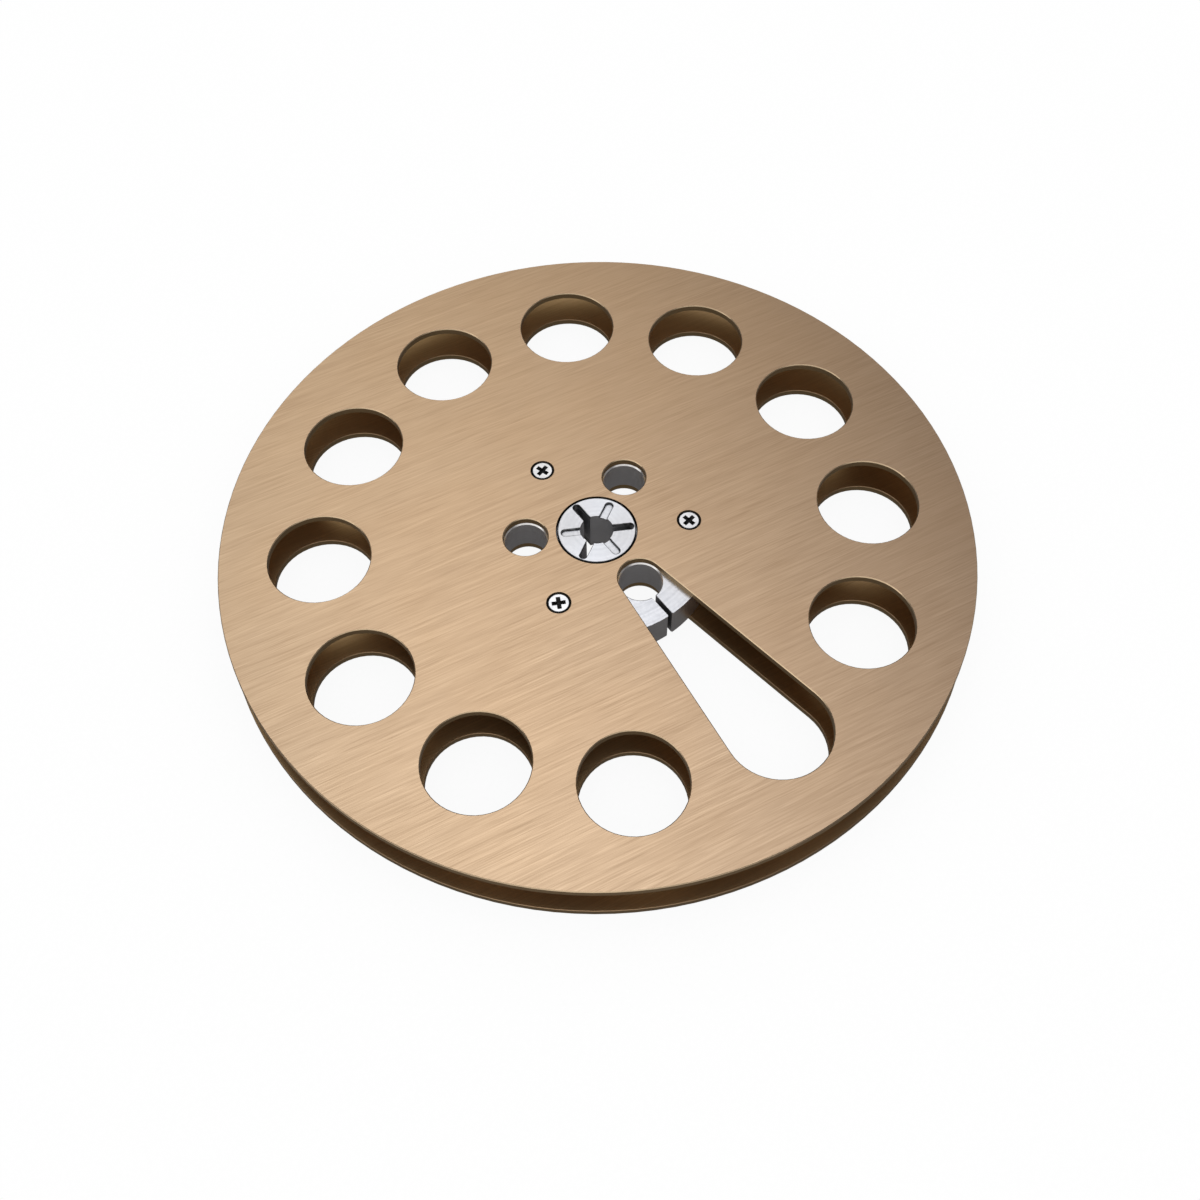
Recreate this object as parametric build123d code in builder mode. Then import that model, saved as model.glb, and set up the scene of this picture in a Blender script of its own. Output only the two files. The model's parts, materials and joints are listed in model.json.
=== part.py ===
from build123d import *

import math
import os

# Open-reel tape reel, seven inch size, all dimensions in millimetres: two
# flanges screwed to a hub with three countersunk screws on each side.
#
# Frame: +Z is the spindle axis, z = 0 is the outer face of the lower flange,
# and the threading slot of both flanges runs out along -Y.

os.makedirs("parts", exist_ok=True)

# ---------------------------------------------------------------- dimensions

# overall
FLANGE_D = 178.0                        # outer diameter of both flanges
FLANGE_T = 1.8                          # plate thickness of one flange
WINDING_GAP = 8.4                       # clear width between the flanges
REEL_H = 2 * FLANGE_T + WINDING_GAP     # over both flanges
Z_LOW = FLANGE_T                        # inner face of the lower flange
Z_HIGH = REEL_H - FLANGE_T              # inner face of the upper flange
EDGE_BREAK = 0.2                        # broken edge on rims and holes, outer faces
INNER_BREAK = 0.1                       # the same, on the faces towards the tape

# ring of large flange holes, one place taken by the slot
RING_PLACES = 12
RING_R = 65.4                           # pitch radius
RING_HOLE_R = 12.05
SLOT_ANGLE = -90.0                      # direction of the threading slot

# three small holes close to the hub centre, the last one in line with the slot
SMALL_R = 16.9                          # pitch radius
SMALL_HOLE_R = 5.3                      # in the flanges
HUB_HOLE_R = 5.0                        # in the hub, chamfered up to the flange hole
SMALL_ANGLES = (30.0, 150.0, SLOT_ANGLE)

# countersunk flange screws, M3 size
SCREW_R = 22.1                          # pitch radius
SCREW_ANGLES = (-30.0, 90.0, 210.0)
SCREW_SHANK_R = 1.45
SCREW_HEAD_R = 2.6
SCREW_EDGE_H = 0.22                     # depth from the head face to its cone
SCREW_CONE_H = SCREW_HEAD_R - SCREW_SHANK_R  # 45 degree flank
SCREW_SINK = 0.08                       # head sits this far below the flange face
SCREW_LENGTH = 5.0                      # over head and shank
SCREW_HEAD_BREAK = 0.18                 # broken edge around the head face
SCREW_TIP = 0.35                        # chamfer on the shank end
FLANGE_SCREW_R = 1.7                    # clearance hole
COUNTERSINK_R = 2.92
COUNTERSINK_ANGLE = 90
HUB_SCREW_R = 1.5                       # tapped hole, drawn plain

# cross recess in the screw heads
RECESS_R = 1.6                          # half span
RECESS_W = 0.82                         # width of one wing
RECESS_DEPTH = 1.25
RECESS_CORE_R = 0.75                    # where the steep cone meets the pointed bottom
RECESS_POINT_H = 0.35                   # height of the pointed bottom
RECESS_RISE = 0.5                       # the cone carries on above the head face
RECESS_FLARE = 0.25                     # its widening over that rise
RECESS_ANGLES = (9.0, 16.0, 62.0)       # turn of each screw about its own axis

# hub
BARREL_R = 28.2                         # tape winding surface
BOSS_R = 9.25                           # centre boss, flush with both flange faces
BOSS_BREAK = 0.1                        # broken edge of the boss
BOSS_HOLE_R = 9.65                      # hole in the flange, clear of the boss
BORE_R = 4.0                            # spindle bore
KEYWAY_W = 1.85                         # full-depth keyways for the spindle splines
KEYWAY_END = 8.9                        # outermost reach from the axis
GROOVE_W = 2.0                          # shallow grooves between the keyways
GROOVE_END = 8.5
GROOVE_DEPTH = 0.6
CUT_START = 2.0                         # keyway and groove cutters start inside the bore
ANCHOR_W = 1.2                          # tape anchor slit, from the small hole out
ANCHOR_MOUTH = 0.25                     # chamfer where it meets the winding surface
OVERCUT = 1.0                           # the slit cutter overruns both its ends

TOLERANCE = 0.01                        # for picking edges by radius and height


# ------------------------------------------------------------------- helpers

def polar(radius, angle):
    turn = math.radians(angle)
    return (radius * math.cos(turn), radius * math.sin(turn))


def is_circle(edge, radius):
    return edge.geom_type == GeomType.CIRCLE and abs(edge.radius - radius) < TOLERANCE


def is_at_height(edge, height):
    return abs(edge.center().Z - height) < TOLERANCE


def write_part(part, name):
    part.label = name
    export_step(part, f"parts/{name}.step")


ring_step = 360.0 / RING_PLACES
ring_places = [polar(RING_R, SLOT_ANGLE + ring_step * k) for k in range(1, RING_PLACES)]
small_places = [polar(SMALL_R, angle) for angle in SMALL_ANGLES]
screw_places = [polar(SCREW_R, angle) for angle in SCREW_ANGLES]

# ------------------------------------------------------------- upper flange

# The slot is the outline around one large and one small circle. Its straight
# sides are tangent to both and leave them at these four points.
side_lean = math.asin((RING_HOLE_R - SMALL_HOLE_R) / (RING_R - SMALL_R))
side_x = math.cos(side_lean)
side_y = math.sin(side_lean)
right_in = (SMALL_HOLE_R * side_x, -SMALL_R + SMALL_HOLE_R * side_y)
right_out = (RING_HOLE_R * side_x, -RING_R + RING_HOLE_R * side_y)
left_in = (-right_in[0], right_in[1])
left_out = (-right_out[0], right_out[1])
outer_tip = (0.0, -RING_R - RING_HOLE_R)
inner_tip = (0.0, -SMALL_R + SMALL_HOLE_R)

# outline of the plate with its holes and the threading slot
with BuildSketch(Plane.XY.offset(Z_HIGH)) as flange_outline:
    Circle(FLANGE_D / 2)
    Circle(BOSS_HOLE_R, mode=Mode.SUBTRACT)
    with Locations(*ring_places):
        Circle(RING_HOLE_R, mode=Mode.SUBTRACT)
    # the slot takes the place of the last small hole
    with Locations(*small_places[:-1]):
        Circle(SMALL_HOLE_R, mode=Mode.SUBTRACT)
    with BuildLine():
        Line(right_in, right_out)
        ThreePointArc(right_out, outer_tip, left_out)
        Line(left_out, left_in)
        ThreePointArc(left_in, inner_tip, right_in)
    make_face(mode=Mode.SUBTRACT)

with BuildPart() as upper_flange:
    add(flange_outline.sketch)
    extrude(amount=FLANGE_T)
    # every edge of both faces is broken, except the sharp one around the boss
    rims = [
        edge
        for edge in upper_flange.edges().filter_by(Plane.XY)
        if not is_circle(edge, BOSS_HOLE_R)
    ]
    chamfer([edge for edge in rims if is_at_height(edge, REEL_H)], length=EDGE_BREAK)
    chamfer([edge for edge in rims if is_at_height(edge, Z_HIGH)], length=INNER_BREAK)
    # screw holes, countersunk from the outer face
    with Locations(Plane.XY.offset(REEL_H)):
        with Locations(*screw_places):
            CounterSinkHole(
                radius=FLANGE_SCREW_R,
                counter_sink_radius=COUNTERSINK_R,
                depth=FLANGE_T,
                counter_sink_angle=COUNTERSINK_ANGLE,
            )

write_part(upper_flange.part, "upper_flange")

# ------------------------------------------------------------- lower flange

# the same plate mirrored, its countersinks facing down
with BuildPart() as lower_flange:
    add(upper_flange.part)
    mirror(about=Plane.XY.offset(REEL_H / 2), mode=Mode.REPLACE)

write_part(lower_flange.part, "lower_flange")

# ---------------------------------------------------------------------- hub

# radial cuts, round at their outer ends: keyways through the full height, then
# shallow grooves midway between them in the lower and upper boss faces
# columns: angles, width, reach from the axis, starting height, signed depth
RADIAL_CUTS = (
    (SCREW_ANGLES, KEYWAY_W, KEYWAY_END, 0.0, REEL_H),
    (SMALL_ANGLES, GROOVE_W, GROOVE_END, 0.0, GROOVE_DEPTH),
    (SMALL_ANGLES, GROOVE_W, GROOVE_END, REEL_H, -GROOVE_DEPTH),
)

# one piece: winding barrel with a boss on each side
with BuildPart() as hub:
    with BuildSketch(Plane.XZ):
        with BuildLine():
            Polyline(
                (BORE_R, 0),
                (BOSS_R, 0),
                (BOSS_R, Z_LOW),
                (BARREL_R, Z_LOW),
                (BARREL_R, Z_HIGH),
                (BOSS_R, Z_HIGH),
                (BOSS_R, REEL_H),
                (BORE_R, REEL_H),
                close=True,
            )
        make_face()
    revolve(axis=Axis.Z)
    # broken outer edges of the two bosses
    boss_rims = [
        edge
        for edge in hub.edges()
        if is_circle(edge, BOSS_R) and (is_at_height(edge, 0) or is_at_height(edge, REEL_H))
    ]
    chamfer(boss_rims, length=BOSS_BREAK)

    for angles, width, reach, height, depth in RADIAL_CUTS:
        with BuildSketch(Plane.XY.offset(height)):
            for angle in angles:
                with Locations(Rot(0, 0, angle)):
                    with Locations(((CUT_START + reach) / 2, 0)):
                        SlotOverall(reach - CUT_START, width)
        extrude(amount=depth, mode=Mode.SUBTRACT)

    # three holes through the barrel
    with BuildSketch(Plane.XY.offset(Z_LOW)):
        with Locations(*small_places):
            Circle(HUB_HOLE_R)
    extrude(amount=WINDING_GAP, mode=Mode.SUBTRACT)
    hole_rims = [edge for edge in hub.edges() if is_circle(edge, HUB_HOLE_R)]
    chamfer(hole_rims, length=SMALL_HOLE_R - HUB_HOLE_R)

    # screw holes, shared by the screws of both sides
    with BuildSketch(Plane.XY.offset(Z_LOW)):
        with Locations(*screw_places):
            Circle(HUB_SCREW_R)
    extrude(amount=WINDING_GAP, mode=Mode.SUBTRACT)

    # tape anchor slit from the small hole out to the winding surface
    slit_start = -SMALL_R - HUB_HOLE_R + OVERCUT
    mouth_start = -BARREL_R + ANCHOR_MOUTH
    slit_end = -BARREL_R - OVERCUT
    half_slit = ANCHOR_W / 2
    half_mouth = half_slit + ANCHOR_MOUTH + OVERCUT
    with BuildSketch(Plane.XY.offset(Z_LOW)):
        with BuildLine():
            Polyline(
                (-half_slit, slit_start),
                (half_slit, slit_start),
                (half_slit, mouth_start),
                (half_mouth, slit_end),
                (-half_mouth, slit_end),
                (-half_slit, mouth_start),
                close=True,
            )
        make_face()
    extrude(amount=WINDING_GAP, mode=Mode.SUBTRACT)

write_part(hub.part, "hub")

# ------------------------------------------------------------------- screws

# cutter for the cross recess: two crossed wings held inside a steep cone
with BuildPart() as recess:
    with BuildSketch(Plane.XY):
        Rectangle(2 * RECESS_R, RECESS_W)
        Rectangle(RECESS_W, 2 * RECESS_R)
    extrude(amount=-RECESS_DEPTH)
    with BuildSketch(Plane.XZ):
        with BuildLine():
            Polyline(
                (0, RECESS_RISE),
                (RECESS_R + RECESS_FLARE, RECESS_RISE),
                (RECESS_R, 0),
                (RECESS_CORE_R, -RECESS_DEPTH + RECESS_POINT_H),
                (0, -RECESS_DEPTH),
                close=True,
            )
        make_face()
    revolve(axis=Axis.Z, mode=Mode.INTERSECT)

# one screw with its head face at z = 0, shank downward
with BuildPart() as screw:
    with BuildSketch(Plane.XZ):
        with BuildLine():
            Polyline(
                (0, 0),
                (SCREW_HEAD_R - SCREW_HEAD_BREAK, 0),
                (SCREW_HEAD_R, -SCREW_HEAD_BREAK),
                (SCREW_HEAD_R, -SCREW_EDGE_H),
                (SCREW_SHANK_R, -SCREW_EDGE_H - SCREW_CONE_H),
                (SCREW_SHANK_R, -SCREW_LENGTH + SCREW_TIP),
                (SCREW_SHANK_R - SCREW_TIP, -SCREW_LENGTH),
                (0, -SCREW_LENGTH),
                close=True,
            )
        make_face()
    revolve(axis=Axis.Z)
    add(recess.part, mode=Mode.SUBTRACT)

# columns: side, height of the head face, tilt about X that turns the screw over
SCREW_SIDES = (
    ("upper", REEL_H - SCREW_SINK, 0),
    ("lower", SCREW_SINK, 180),
)

for number, ((x, y), turn) in enumerate(zip(screw_places, RECESS_ANGLES), start=1):
    for side, head_z, tilt in SCREW_SIDES:
        with BuildPart() as placed_screw:
            with Locations(Location((x, y, head_z), (tilt, 0, turn))):
                add(screw.part)
        write_part(placed_screw.part, f"{side}_screw_{number}")
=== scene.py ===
# A small metal reel lying flat on a pale floor, with gold anodised, silver aluminium and
# nickel plated steel parts. Its axis is world Z and it rises from z = 0. Lengths in metres.
import functools
import json
import math

import bpy
from mathutils import Matrix, Vector


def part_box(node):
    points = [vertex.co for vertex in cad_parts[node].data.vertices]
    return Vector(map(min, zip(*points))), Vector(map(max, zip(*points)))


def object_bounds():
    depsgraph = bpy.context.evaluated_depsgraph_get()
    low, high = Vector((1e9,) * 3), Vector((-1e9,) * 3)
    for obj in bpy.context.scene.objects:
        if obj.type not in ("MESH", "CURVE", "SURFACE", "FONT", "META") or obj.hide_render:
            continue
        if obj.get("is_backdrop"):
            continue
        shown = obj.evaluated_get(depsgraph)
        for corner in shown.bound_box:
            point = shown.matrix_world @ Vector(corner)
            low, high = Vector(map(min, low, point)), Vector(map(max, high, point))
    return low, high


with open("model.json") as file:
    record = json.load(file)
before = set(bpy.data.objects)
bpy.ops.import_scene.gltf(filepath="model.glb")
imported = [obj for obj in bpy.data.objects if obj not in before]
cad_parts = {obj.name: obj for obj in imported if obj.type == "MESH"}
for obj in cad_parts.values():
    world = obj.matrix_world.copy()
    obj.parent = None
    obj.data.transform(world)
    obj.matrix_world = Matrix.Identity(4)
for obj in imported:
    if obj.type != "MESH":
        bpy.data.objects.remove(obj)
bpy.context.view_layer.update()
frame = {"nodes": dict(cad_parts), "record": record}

flange_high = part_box("upper_flange")[1]
REEL_TOP = flange_high.z
REEL_RADIUS = flange_high.x
MIDDLE = REEL_TOP / 2

SCREW_AXES = []
for number in (1, 2, 3):
    low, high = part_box(f"upper_screw_{number}")
    SCREW_AXES.append(((low.x + high.x) / 2, (low.y + high.y) / 2))
RECESS_TURNS = (9.0, 16.0, 62.0)    # degrees each screw's cross recess is turned

GAP_RADIUS = 0.00965                # inner edge of the dirty gap round the boss
BRUSH_ANGLE = -10.0                 # degrees from x of the straight brushing

# Two sets of round-ended slots in the silver faces, each running out from the axis:
# directions in degrees, reach from the axis, width
SLOTS = (
    ((30.0, 150.0, -90.0), 0.0085, 0.0020),
    ((-30.0, 90.0, 210.0), 0.0089, 0.00185),
)


# ------------------------------------------------------------ node helpers


class Value:
    """A node output that can be used in arithmetic, each step making a Math node."""

    def __init__(self, tree, socket):
        self.tree = tree
        self.socket = socket

    def __add__(self, other):
        return self.tree.math("ADD", self, other)

    def __sub__(self, other):
        return self.tree.math("SUBTRACT", self, other)

    def __rsub__(self, other):
        return self.tree.math("SUBTRACT", other, self)

    def __mul__(self, other):
        return self.tree.math("MULTIPLY", self, other)

    def __truediv__(self, other):
        return self.tree.math("DIVIDE", self, other)

    def __abs__(self):
        return self.tree.math("ABSOLUTE", self)

    def ramp(self, span, to=(0.0, 1.0), smooth=True):
        """Carry the range `span` over to the range `to`."""
        return self.tree.value("ShaderNodeMapRange", "Result", {
            "Value": self, "From Min": span[0], "From Max": span[1],
            "To Min": to[0], "To Max": to[1],
        }, interpolation_type="SMOOTHSTEP" if smooth else "LINEAR")


class Tree:
    """Short names for building a node tree. Colours are given without alpha."""

    def __init__(self, owner):
        owner.use_nodes = True
        self.tree = owner.node_tree
        self.tree.nodes.clear()

    def node(self, kind, inputs=None, **settings):
        node = self.tree.nodes.new(kind)
        for name, setting in settings.items():
            setattr(node, name, setting)
        for key, content in (inputs or {}).items():
            socket = node.inputs[key]
            if isinstance(content, Value):
                self.tree.links.new(content.socket, socket)
            else:
                socket.default_value = (*content, 1.0) if socket.type == "RGBA" else content
        return node

    def value(self, kind, output=0, inputs=None, **settings):
        return Value(self, self.node(kind, inputs, **settings).outputs[output])

    def math(self, operation, *terms, clamp=False):
        return self.value("ShaderNodeMath", 0, dict(enumerate(terms)),
                          operation=operation, use_clamp=clamp)

    def combine(self, operation, values):
        return functools.reduce(lambda first, second: self.math(operation, first, second), values)

    def vector_math(self, operation, *terms, **named):
        output = "Value" if operation in ("DOT_PRODUCT", "LENGTH", "DISTANCE") else "Vector"
        return self.value("ShaderNodeVectorMath", output, {**dict(enumerate(terms)), **named},
                          operation=operation)

    def xyz(self, vector):
        node = self.node("ShaderNodeSeparateXYZ", {0: vector})
        return [Value(self, output) for output in node.outputs]

    def vector(self, x, y, z=0.0):
        return self.value("ShaderNodeCombineXYZ", 0, {0: x, 1: y, 2: z})

    def length(self, x, y):
        return self.vector_math("LENGTH", self.vector(x, y))

    def position(self):
        return self.value("ShaderNodeTexCoord", "Object")

    def noise(self, vector, scale=1.0, detail=2.0, rough=0.5):
        return self.value("ShaderNodeTexNoise", "Fac", {
            "Vector": vector, "Scale": scale, "Detail": detail, "Roughness": rough})

    def occlusion(self, distance, samples, only_local=False):
        return self.value("ShaderNodeAmbientOcclusion", "AO", {"Distance": distance},
                          samples=samples, only_local=only_local)

    def mix(self, factor, first, second):
        return self.value("ShaderNodeMix", 0, {0: factor, 2: first, 3: second},
                          data_type="FLOAT")

    def mix_vector(self, factor, first, second):
        return self.value("ShaderNodeMix", 1, {0: factor, 4: first, 5: second},
                          data_type="VECTOR")

    def mix_colour(self, factor, first, second):
        return self.value("ShaderNodeMix", 2, {0: factor, 6: first, 7: second},
                          data_type="RGBA")

    def mix_shader(self, factor, first, second):
        return self.value("ShaderNodeMixShader", 0, {0: factor, 1: first, 2: second})

    def camera_to_world(self, vector, kind):
        return self.value("ShaderNodeVectorTransform", 0, {0: vector}, vector_type=kind,
                          convert_from="CAMERA", convert_to="WORLD")

    def metal(self, colour, rough, height, bump_strength, bump_distance, **more):
        """Finish the tree as a bumped metal."""
        normal = self.value("ShaderNodeBump", 0, {
            "Strength": bump_strength, "Distance": bump_distance, "Height": height})
        surface = self.value("ShaderNodeBsdfPrincipled", 0, {
            "Base Color": colour, "Metallic": 1.0, "Roughness": rough, "Normal": normal, **more})
        self.node("ShaderNodeOutputMaterial", {"Surface": surface})


def new_material(name):
    material = bpy.data.materials.new(name)
    return material, Tree(material)


def cos_sin(degrees):
    angle = math.radians(degrees)
    return math.cos(angle), math.sin(angle)


def turn(x, y, cosine, sine):
    """Distances along and across a direction, given its cosine and sine."""
    return x * cosine + y * sine, y * cosine - x * sine


# --------------------------------------------------------------- materials


def regions(tree):
    """Masks from the face direction: flat faces, upright walls and broken edges."""
    upward = abs(tree.xyz(tree.value("ShaderNodeNewGeometry", "True Normal"))[2])
    flat = upward.ramp(span=(0.85, 0.97))
    wall = upward.ramp(span=(0.15, 0.4), to=(1.0, 0.0))
    edge = tree.math("SUBTRACT", 1.0, flat + wall, clamp=True)
    return flat, wall, edge


def turned_lines(tree, x, y, z, density):
    """Fine machining lines running round the upright walls."""
    drift = 60.0    # how fast the lines change sideways
    return tree.noise(tree.vector(x * drift, y * drift, z * density))


def screw_distance(tree, x, y, axis):
    return tree.vector_math("DISTANCE", tree.vector(x, y), (*axis, 0.0))


def gold_anodised():
    material, tree = new_material("brushed_gold_anodised")
    position = tree.position()
    flat, wall, edge = regions(tree)
    x, y, z = tree.xyz(position)
    # the upper and lower outer faces, as against those within the reel
    outer = abs(z - MIDDLE).ramp(span=(MIDDLE - 0.0009, MIDDLE - 0.0006))
    inner = tree.math("SUBTRACT", 1.0, outer, clamp=True)

    cosine, sine = cos_sin(BRUSH_ANGLE)
    along, across = turn(x, y, cosine, sine)
    # a different pattern for each object and height
    offset = tree.value("ShaderNodeObjectInfo", "Random") * 37.0 + z * 900.0

    def strokes(length_mm, width_mm, detail, seed):
        stretched = tree.vector(along * (1000.0 / length_mm), across * (1000.0 / width_mm),
                                offset + seed)
        return tree.noise(stretched, detail=detail, rough=0.55)

    fine = strokes(length_mm=6.0, width_mm=0.12, detail=1.0, seed=1.0)
    medium = strokes(length_mm=17.0, width_mm=0.31, detail=1.0, seed=7.0)
    coarse = strokes(length_mm=38.0, width_mm=1.0, detail=2.0, seed=13.0)
    dark_line = strokes(length_mm=10.0, width_mm=0.26, detail=0.0, seed=23.0)
    dark_line = dark_line.ramp(span=(0.58, 0.74))
    pale_line = strokes(length_mm=14.0, width_mm=0.28, detail=0.0, seed=31.0)
    pale_line = pale_line.ramp(span=(0.60, 0.76))
    scratch = strokes(length_mm=45.0, width_mm=0.20, detail=0.0, seed=41.0)
    scratch = scratch.ramp(span=(0.755, 0.79))
    patch = tree.noise(tree.vector(along * 16.0, across * 38.0, offset), detail=3.0)
    mottle = tree.noise(position, scale=70.0)
    wall_lines = turned_lines(tree, x, y, z, density=9000.0)

    # brightness of the brushing: the three stroke widths weighted, then single lines
    tone = fine * 0.42 + (medium * 0.40 + coarse * 0.18)
    tone = tone.ramp(span=(0.30, 0.70), smooth=False)
    tone = tone - dark_line * 0.25 + pale_line * 0.20 + scratch * 0.26

    low_gold, high_gold = (0.550, 0.365, 0.220), (0.703, 0.501, 0.320)
    warm_gold, pale_gold = (0.638, 0.427, 0.256), (0.646, 0.458, 0.298)
    wall_low, wall_high = (0.548, 0.380, 0.196), (0.650, 0.458, 0.242)
    inner_low, inner_high = (0.53, 0.345, 0.168), (0.66, 0.45, 0.235)
    edge_gold_and_highlight, shade_brown = (0.84, 0.68, 0.48), (0.028, 0.022, 0.016)
    face = tree.mix_colour(tone, low_gold, high_gold)
    face = tree.mix_colour(patch.ramp(span=(0.35, 0.65), to=(0.0, 0.30)), face, warm_gold)
    face = tree.mix_colour(mottle.ramp(span=(0.35, 0.65), to=(0.0, 0.18)), face, pale_gold)
    # painted shade: the walls and the faces within the reel take slightly darker, deeper gold
    # copies of the face colour
    side = tree.mix_colour(wall_lines, wall_low, wall_high)
    colour = tree.mix_colour(wall, face, side)
    inner_face = tree.mix_colour(tone, inner_low, inner_high)
    colour = tree.mix_colour(flat * inner, colour, inner_face)
    # painted highlight: the outer broken edges are lightened, partly worn bare metal and partly
    # the glint they catch
    edge_wear_and_highlight = 0.55
    colour = tree.mix_colour(edge * outer * edge_wear_and_highlight, colour, edge_gold_and_highlight)

    # painted shade darkens the countersinks and the gap round the boss
    past_gap = tree.length(x, y) + -GAP_RADIUS
    gap = past_gap.ramp(span=(0.00003, 0.00008), to=(1.0, 0.0))
    sink = tree.combine("MAXIMUM", [
        screw_distance(tree, x, y, axis).ramp(span=(0.00295, 0.00300), to=(1.0, 0.0))
        for axis in SCREW_AXES
    ])
    sink = sink * (1.0 - flat)
    shade_strength = 0.93
    painted_shade = tree.math("MAXIMUM", gap, sink) * shade_strength
    colour = tree.mix_colour(painted_shade, colour, shade_brown)

    edge_rough, inner_rough, shade_rough = 0.25, 0.45, 0.7
    rough = tone.ramp(span=(0.0, 1.0), to=(0.39, 0.31), smooth=False)
    wall_rough = wall_lines.ramp(span=(0.3, 0.7), to=(0.36, 0.28), smooth=False)
    rough = tree.mix(wall, rough, wall_rough)
    rough = tree.mix(edge, rough, edge_rough)
    rough = tree.mix(tree.math("ADD", flat, edge, clamp=True) * inner, rough, inner_rough)
    rough = tree.mix(painted_shade, rough, shade_rough)

    # relief: strokes stand up, dark lines cut in
    height = medium * 0.6 + (fine * 0.25 + dark_line * -0.4)
    height = tree.mix(wall, height, wall_lines * 0.5)
    tangent = tree.mix_vector(wall, (-sine, cosine, 0.0), (0.0, 0.0, 1.0))
    tree.metal(colour, rough, height, bump_strength=0.07, bump_distance=0.00005,
               Anisotropic=0.6, Tangent=tangent)
    return material


def slot_outline(tree, x, y):
    """Distance to the nearest outline of a slot."""
    distances = []
    for angles, reach, width in SLOTS:
        for angle in angles:
            along, across = turn(x, y, *cos_sin(angle))
            past = tree.math("MAXIMUM", along - (reach - width / 2), 0.0)
            away = abs(tree.length(past, across) - width / 2)
            # no outline behind the axis: there the distance grows by a metre
            behind = tree.math("LESS_THAN", along, 0.001)
            distances.append(away + behind * 1.0)
    return tree.combine("MINIMUM", distances)


def silver_aluminium():
    material, tree = new_material("machined_silver_aluminium")
    position = tree.position()
    wall, edge = regions(tree)[1:]
    x, y, z = tree.xyz(position)
    flat_position = tree.vector(x, y)
    radius = tree.vector_math("LENGTH", flat_position)
    radial = tree.vector_math("NORMALIZE", flat_position)

    # turning rings, dense along the radius and slow across the face
    fine_rings = tree.noise(tree.vector(radius * 6500.0, x * 25.0, y * 25.0))
    broad_rings = tree.noise(tree.vector(radius * 1700.0, 3.0, y * 12.0))
    grain = tree.noise(position, scale=1500.0, detail=3.0, rough=0.6)
    cloud = tree.noise(position, scale=160.0)
    wall_lines = turned_lines(tree, x, y, z, density=6500.0)
    lines = tree.mix(wall, fine_rings * 0.5 + broad_rings * 0.5, wall_lines)
    tone = lines.ramp(span=(0.3, 0.7), smooth=False)
    low_silver, high_silver = (0.86, 0.86, 0.88), (0.95, 0.95, 0.97)
    cloud_silver, silver_shade_black = (0.84, 0.84, 0.865), (0.035, 0.035, 0.038)
    colour = tree.mix_colour(tone, low_silver, high_silver)
    colour = tree.mix_colour(cloud.ramp(span=(0.4, 0.7), to=(0.0, 0.25)), colour, cloud_silver)

    # painted shade: dark lines in the corners and in the depth of the slots, from ambient
    # occlusion
    corner = tree.occlusion(distance=0.00045, samples=6, only_local=True)
    deep = tree.occlusion(distance=0.0022, samples=6, only_local=True)
    under = tree.occlusion(distance=0.0024, samples=6)
    depth = tree.mix(wall, deep, tree.math("MINIMUM", deep, under))
    silver_shade = tree.math("MAXIMUM", corner.ramp(span=(0.60, 0.93), to=(0.95, 0.0)),
                      depth.ramp(span=(0.28, 0.76), to=(0.92, 0.0)))
    uneven = tree.noise(position, scale=900.0, rough=0.6)
    silver_shade = silver_shade * uneven.ramp(span=(0.3, 0.6), to=(0.75, 1.0))

    # painted shade too along the outlines of the slots and the rim of the boss, on the outer
    # faces
    outline_radius, rim_radius, face_depth = 0.0092, 0.0096, 0.0008
    line = slot_outline(tree, x, y).ramp(span=(0.00007, 0.00016), to=(0.92, 0.0))
    line_breakup = tree.noise(position, scale=450.0).ramp(span=(0.32, 0.60), to=(0.45, 1.0))
    outline = line * line_breakup * tree.math("LESS_THAN", radius, outline_radius)
    rim = radius.ramp(span=(0.00904, 0.00914), to=(0.0, 0.93))
    rim = rim * tree.math("LESS_THAN", radius, rim_radius)
    outer = tree.math("GREATER_THAN", abs(z - MIDDLE), MIDDLE - face_depth)
    silver_shade = tree.math("MAXIMUM", silver_shade, tree.math("MAXIMUM", outline, rim) * outer)
    colour = tree.mix_colour(silver_shade, colour, silver_shade_black)

    edge_rough, silver_shade_rough = 0.24, 0.6
    rough = (tone.ramp(span=(0.0, 1.0), to=(0.42, 0.33), smooth=False)
             + grain.ramp(span=(0.3, 0.7), to=(-0.03, 0.05), smooth=False))
    rough = tree.mix(edge, rough, edge_rough)
    rough = tree.mix(silver_shade, rough, silver_shade_rough)
    height = tone * 0.6 + grain * 0.8    # relief of the lines and the grain
    tree.metal(colour, rough, height, bump_strength=0.10, bump_distance=0.00005,
               Anisotropic=0.45, Tangent=tree.mix_vector(wall, radial, (0.0, 0.0, 1.0)))
    return material


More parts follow.
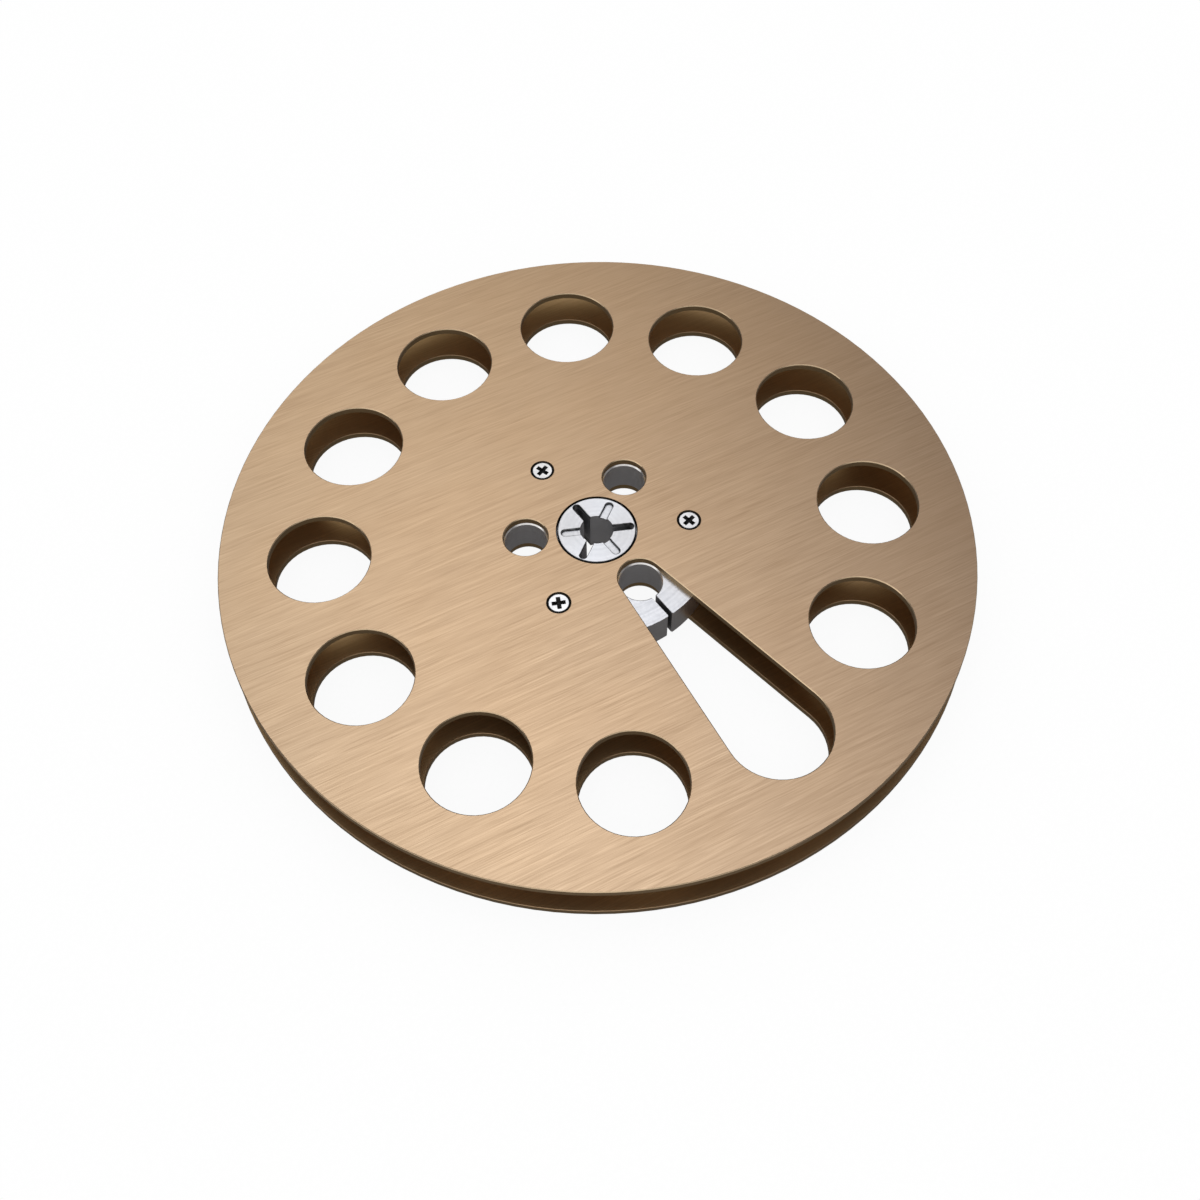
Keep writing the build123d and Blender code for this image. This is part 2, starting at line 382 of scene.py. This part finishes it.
def plated_steel():
    material, tree = new_material("nickel_plated_steel")
    position = tree.position()
    # painted shade: hollows that ambient occlusion finds are darkened
    hollow = tree.occlusion(distance=0.0011, samples=8, only_local=True)
    painted_shade = hollow.ramp(span=(0.45, 0.88), to=(0.97, 0.0))

    # painted shade: the broken edge of the head is darkened too
    x, y, z = tree.xyz(position)
    reach = tree.combine("MINIMUM", [screw_distance(tree, x, y, axis) for axis in SCREW_AXES])
    painted_shade = tree.math("MAXIMUM", painted_shade, reach.ramp(span=(0.00222, 0.00236), to=(0.0, 0.96)))

    # painted shade fills the mouths of the cross recesses too, mirrored in y on the lower side
    mouth_shade_strength = 0.95
    side = tree.math("SIGN", z - MIDDLE)
    for (screw_x, screw_y), degrees in zip(SCREW_AXES, RECESS_TURNS):
        along, across = turn(x - screw_x, (y - screw_y) * side, *cos_sin(degrees))
        along, across = abs(along), abs(across)
        narrow = tree.math("MINIMUM", along, across).ramp(span=(0.00046, 0.00056), to=(1.0, 0.0))
        short = tree.math("MAXIMUM", along, across).ramp(span=(0.00156, 0.00168), to=(1.0, 0.0))
        painted_shade = tree.math("MAXIMUM", painted_shade, narrow * short * mouth_shade_strength)

    grain = tree.noise(position, scale=2600.0, detail=3.0, rough=0.6)
    cloud = tree.noise(position, scale=500.0)
    low_nickel, high_nickel = (0.79, 0.79, 0.80), (0.90, 0.90, 0.905)
    recess_shade_black, shade_rough = (0.02, 0.019, 0.018), 0.35
    colour = tree.mix_colour(cloud.ramp(span=(0.35, 0.65)), low_nickel, high_nickel)
    colour = tree.mix_colour(painted_shade, colour, recess_shade_black)
    rough = grain.ramp(span=(0.3, 0.7), to=(0.24, 0.34), smooth=False) + painted_shade * shade_rough
    tree.metal(colour, rough, grain, bump_strength=0.10, bump_distance=0.00003)
    return material


looks = {
    "gold_anodised": gold_anodised(),
    "silver_aluminium": silver_aluminium(),
    "plated_steel": plated_steel(),
}
for part in frame["record"]["subparts"]:
    for slot in frame["nodes"][part["node"]].material_slots:
        slot.material = looks[part["material_slot"]]

# ------------------------------------------------------------------ camera

VIEW_AZIMUTH = math.radians(-35.957)
VIEW_HEIGHT = math.radians(53.0116)         # angle above the floor
VIEW_ROLL = -0.01812                        # radians
VIEW_DISTANCE = 0.365729
AIM_OFFSET = (-0.000484, 0.016296, 0.0)     # from the top centre, turned with the view
SENSOR_WIDTH = 36.0                         # mm, as is the lens
LENS = 45.09018
SHIFT = (0.005275, -0.10445833)             # in sensor widths


def add_camera():
    """Place the camera and return its position."""
    spin = Matrix.Rotation(VIEW_AZIMUTH, 3, "Z")
    aim = spin @ Vector(AIM_OFFSET) + Vector((0, 0, REEL_TOP))
    back = spin @ Vector((0.0, -math.cos(VIEW_HEIGHT), math.sin(VIEW_HEIGHT)))
    level_right = spin @ Vector((1.0, 0.0, 0.0))
    level_up = back.cross(level_right)
    right = math.cos(VIEW_ROLL) * level_right + math.sin(VIEW_ROLL) * level_up
    up = -math.sin(VIEW_ROLL) * level_right + math.cos(VIEW_ROLL) * level_up
    place = aim + back * VIEW_DISTANCE

    data = bpy.data.cameras.new("camera")
    data.sensor_width = SENSOR_WIDTH
    data.lens = LENS
    data.shift_x, data.shift_y = SHIFT
    data.clip_start = 0.01
    data.clip_end = 50.0
    camera = bpy.data.objects.new("camera", data)
    bpy.context.scene.collection.objects.link(camera)
    axes = Matrix((right, up, back)).transposed()
    camera.matrix_world = Matrix.Translation(place) @ axes.to_4x4()
    bpy.context.scene.camera = camera
    return place


camera_place = add_camera()

# ------------------------------------------------------------------ studio

AMBIENT_BELOW = 0.02
AMBIENT_ABOVE = (0.020, 0.020, 0.021)
# Soft boxes, angles in degrees:
# azimuth from straight ahead (positive right), height, spread, strength
SOFT_BOXES = (
    (-12.0, 65.0, 12.0, (1.27, 1.25, 1.25)),
    (-12.0, 50.0, 12.0, (0.31, 0.285, 0.18)),
    (-12.0, 80.0, 12.0, (0.43, 0.54, 0.62)),
    (44.0, 80.0, 12.0, (0.56, 0.60, 0.66)),
    (16.0, 65.0, 12.0, (0.09, 0.06, 0.12)),
    (-52.0, 70.0, 13.0, (0.17, 0.24, 0.34)),
    (-50.0, 35.0, 14.0, (0.21, 0.21, 0.21)),
    (180.0, 58.0, 15.0, (0.16, 0.155, 0.15)),
    (180.0, 37.0, 11.0, (0.62, 0.60, 0.57)),
    (-148.0, 32.0, 10.0, (0.95, 0.92, 0.88)),
    (148.0, 32.0, 10.0, (0.75, 0.72, 0.69)),
    (180.0, 10.0, 13.0, (0.95, 0.93, 0.89)),
    (-115.0, 27.0, 11.0, (1.30, 1.26, 1.20)),
    (100.0, 26.0, 15.0, (0.24, 0.23, 0.22)),
    (0.0, 12.0, 12.0, (0.28, 0.27, 0.26)),
    (-70.0, 12.0, 12.0, (0.09, 0.09, 0.09)),
    (70.0, 12.0, 12.0, (0.14, 0.14, 0.14)),
)
WHITE = (1.0, 1.0, 1.0)


def studio_light(tree, direction):
    """Radiance along a direction: soft boxes that keep their place as the camera sees them."""
    camera_right = tree.camera_to_world((1.0, 0.0, 0.0), kind="VECTOR")
    camera = tree.camera_to_world((0.0, 0.0, 0.0), kind="POINT")
    right_x, right_y, _ = tree.xyz(camera_right)
    side = tree.vector_math("NORMALIZE", tree.vector(right_x, right_y))
    side_x, side_y, _ = tree.xyz(side)
    away = tree.vector(side_y * -1.0, side_x)
    # +1 with the camera above the floor, -1 below it
    above = tree.math("MULTIPLY_ADD",
                      tree.math("GREATER_THAN", tree.xyz(camera)[2], 0.0), 2.0, -1.0)
    rightward = tree.vector_math("DOT_PRODUCT", direction, side)
    forward = tree.vector_math("DOT_PRODUCT", direction, away)
    upward = tree.xyz(direction)[2] * above

    # tilt the boxes by how far the camera's height angle differs from the main view's
    reach = tree.vector_math("LENGTH", camera)
    x, y, z = tree.xyz(camera)
    sine = abs(z) / reach
    cosine = tree.length(x, y) / reach
    main_sine = camera_place.z / camera_place.length
    main_cosine = math.hypot(camera_place.x, camera_place.y) / camera_place.length
    tilt = turn(cosine, sine, main_cosine, main_sine)
    forward, upward = turn(forward, upward, *tilt)

    total = tree.vector(*(
        upward.ramp(span=(-0.3, 0.3), to=(AMBIENT_BELOW, level), smooth=False)
        for level in AMBIENT_ABOVE))
    for azimuth, height, spread, strength in SOFT_BOXES:
        azimuth_cos, azimuth_sin = cos_sin(azimuth)
        height_cos, height_sin = cos_sin(height)
        closeness = rightward * (azimuth_sin * height_cos) + tree.math(
            "MULTIPLY_ADD", forward, azimuth_cos * height_cos, upward * height_sin)
        glow = tree.math("EXPONENT", (closeness - 1.0) * (1.0 / math.radians(spread)**2))
        total = tree.vector_math("ADD", total, tree.vector_math("SCALE", strength, Scale=glow))
    return total


def add_world():
    """The studio lights the metal, while the camera itself sees white."""
    world = bpy.data.worlds.new("studio")
    bpy.context.scene.world = world
    tree = Tree(world)
    light = studio_light(tree, tree.value("ShaderNodeTexCoord", "Generated"))
    lit = tree.value("ShaderNodeBackground", 0, {"Color": light})
    seen = tree.value("ShaderNodeBackground", 0, {"Color": WHITE, "Strength": 1.0})
    camera_ray = tree.value("ShaderNodeLightPath", "Is Camera Ray")
    tree.node("ShaderNodeOutputWorld", {"Surface": tree.mix_shader(camera_ray, lit, seen)})


def pale_floor():
    """White with a faint contact shadow, dim in reflections, and clear from below."""
    material, tree = new_material("pale_floor")
    camera_ray = tree.value("ShaderNodeLightPath", "Is Camera Ray")
    shade = tree.occlusion(distance=0.05, samples=12)
    shade = shade.ramp(span=(0.0, 1.0), to=(0.93, 1.0), smooth=False)
    paper = tree.noise(tree.position(), scale=900.0, detail=3.0, rough=0.6)
    shade = shade * paper.ramp(span=(0.3, 0.7), to=(0.992, 1.0), smooth=False)
    shown = tree.value("ShaderNodeEmission", 0, {"Color": WHITE, "Strength": shade})

    # in reflections the floor glows dimly, with a painted shadow darkening it towards the reel
    x, y, _ = tree.xyz(tree.position())
    reach = tree.length(x, y)
    near = reach.ramp(span=(REEL_RADIUS - 0.002, REEL_RADIUS + 0.020), to=(0.095, 0.24))
    far = reach.ramp(span=(REEL_RADIUS + 0.012, REEL_RADIUS + 0.12), to=(0.0, 0.18))
    dim = tree.value("ShaderNodeEmission", 0, {
        "Color": (1.0, 0.96, 0.94), "Strength": near + far})

    clear = tree.value("ShaderNodeBsdfTransparent")
    surface = tree.mix_shader(camera_ray, dim, shown)
    camera = tree.camera_to_world((0.0, 0.0, 0.0), kind="POINT")
    below = tree.math("LESS_THAN", tree.xyz(camera)[2], 0.0)
    tree.node("ShaderNodeOutputMaterial", {"Surface": tree.mix_shader(below, surface, clear)})
    return material


def add_floor():
    half, level = 3.0, -0.00005
    corners = [(-half, -half, level), (half, -half, level), (half, half, level),
               (-half, half, level)]
    mesh = bpy.data.meshes.new("floor")
    mesh.from_pydata(corners, [], [(0, 1, 2, 3)])
    floor = bpy.data.objects.new("floor", mesh)
    bpy.context.scene.collection.objects.link(floor)
    mesh.materials.append(pale_floor())
    floor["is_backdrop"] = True


add_world()
add_floor()

view = bpy.context.scene.view_settings
view.view_transform = "Standard"
view.look = "None"

low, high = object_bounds()
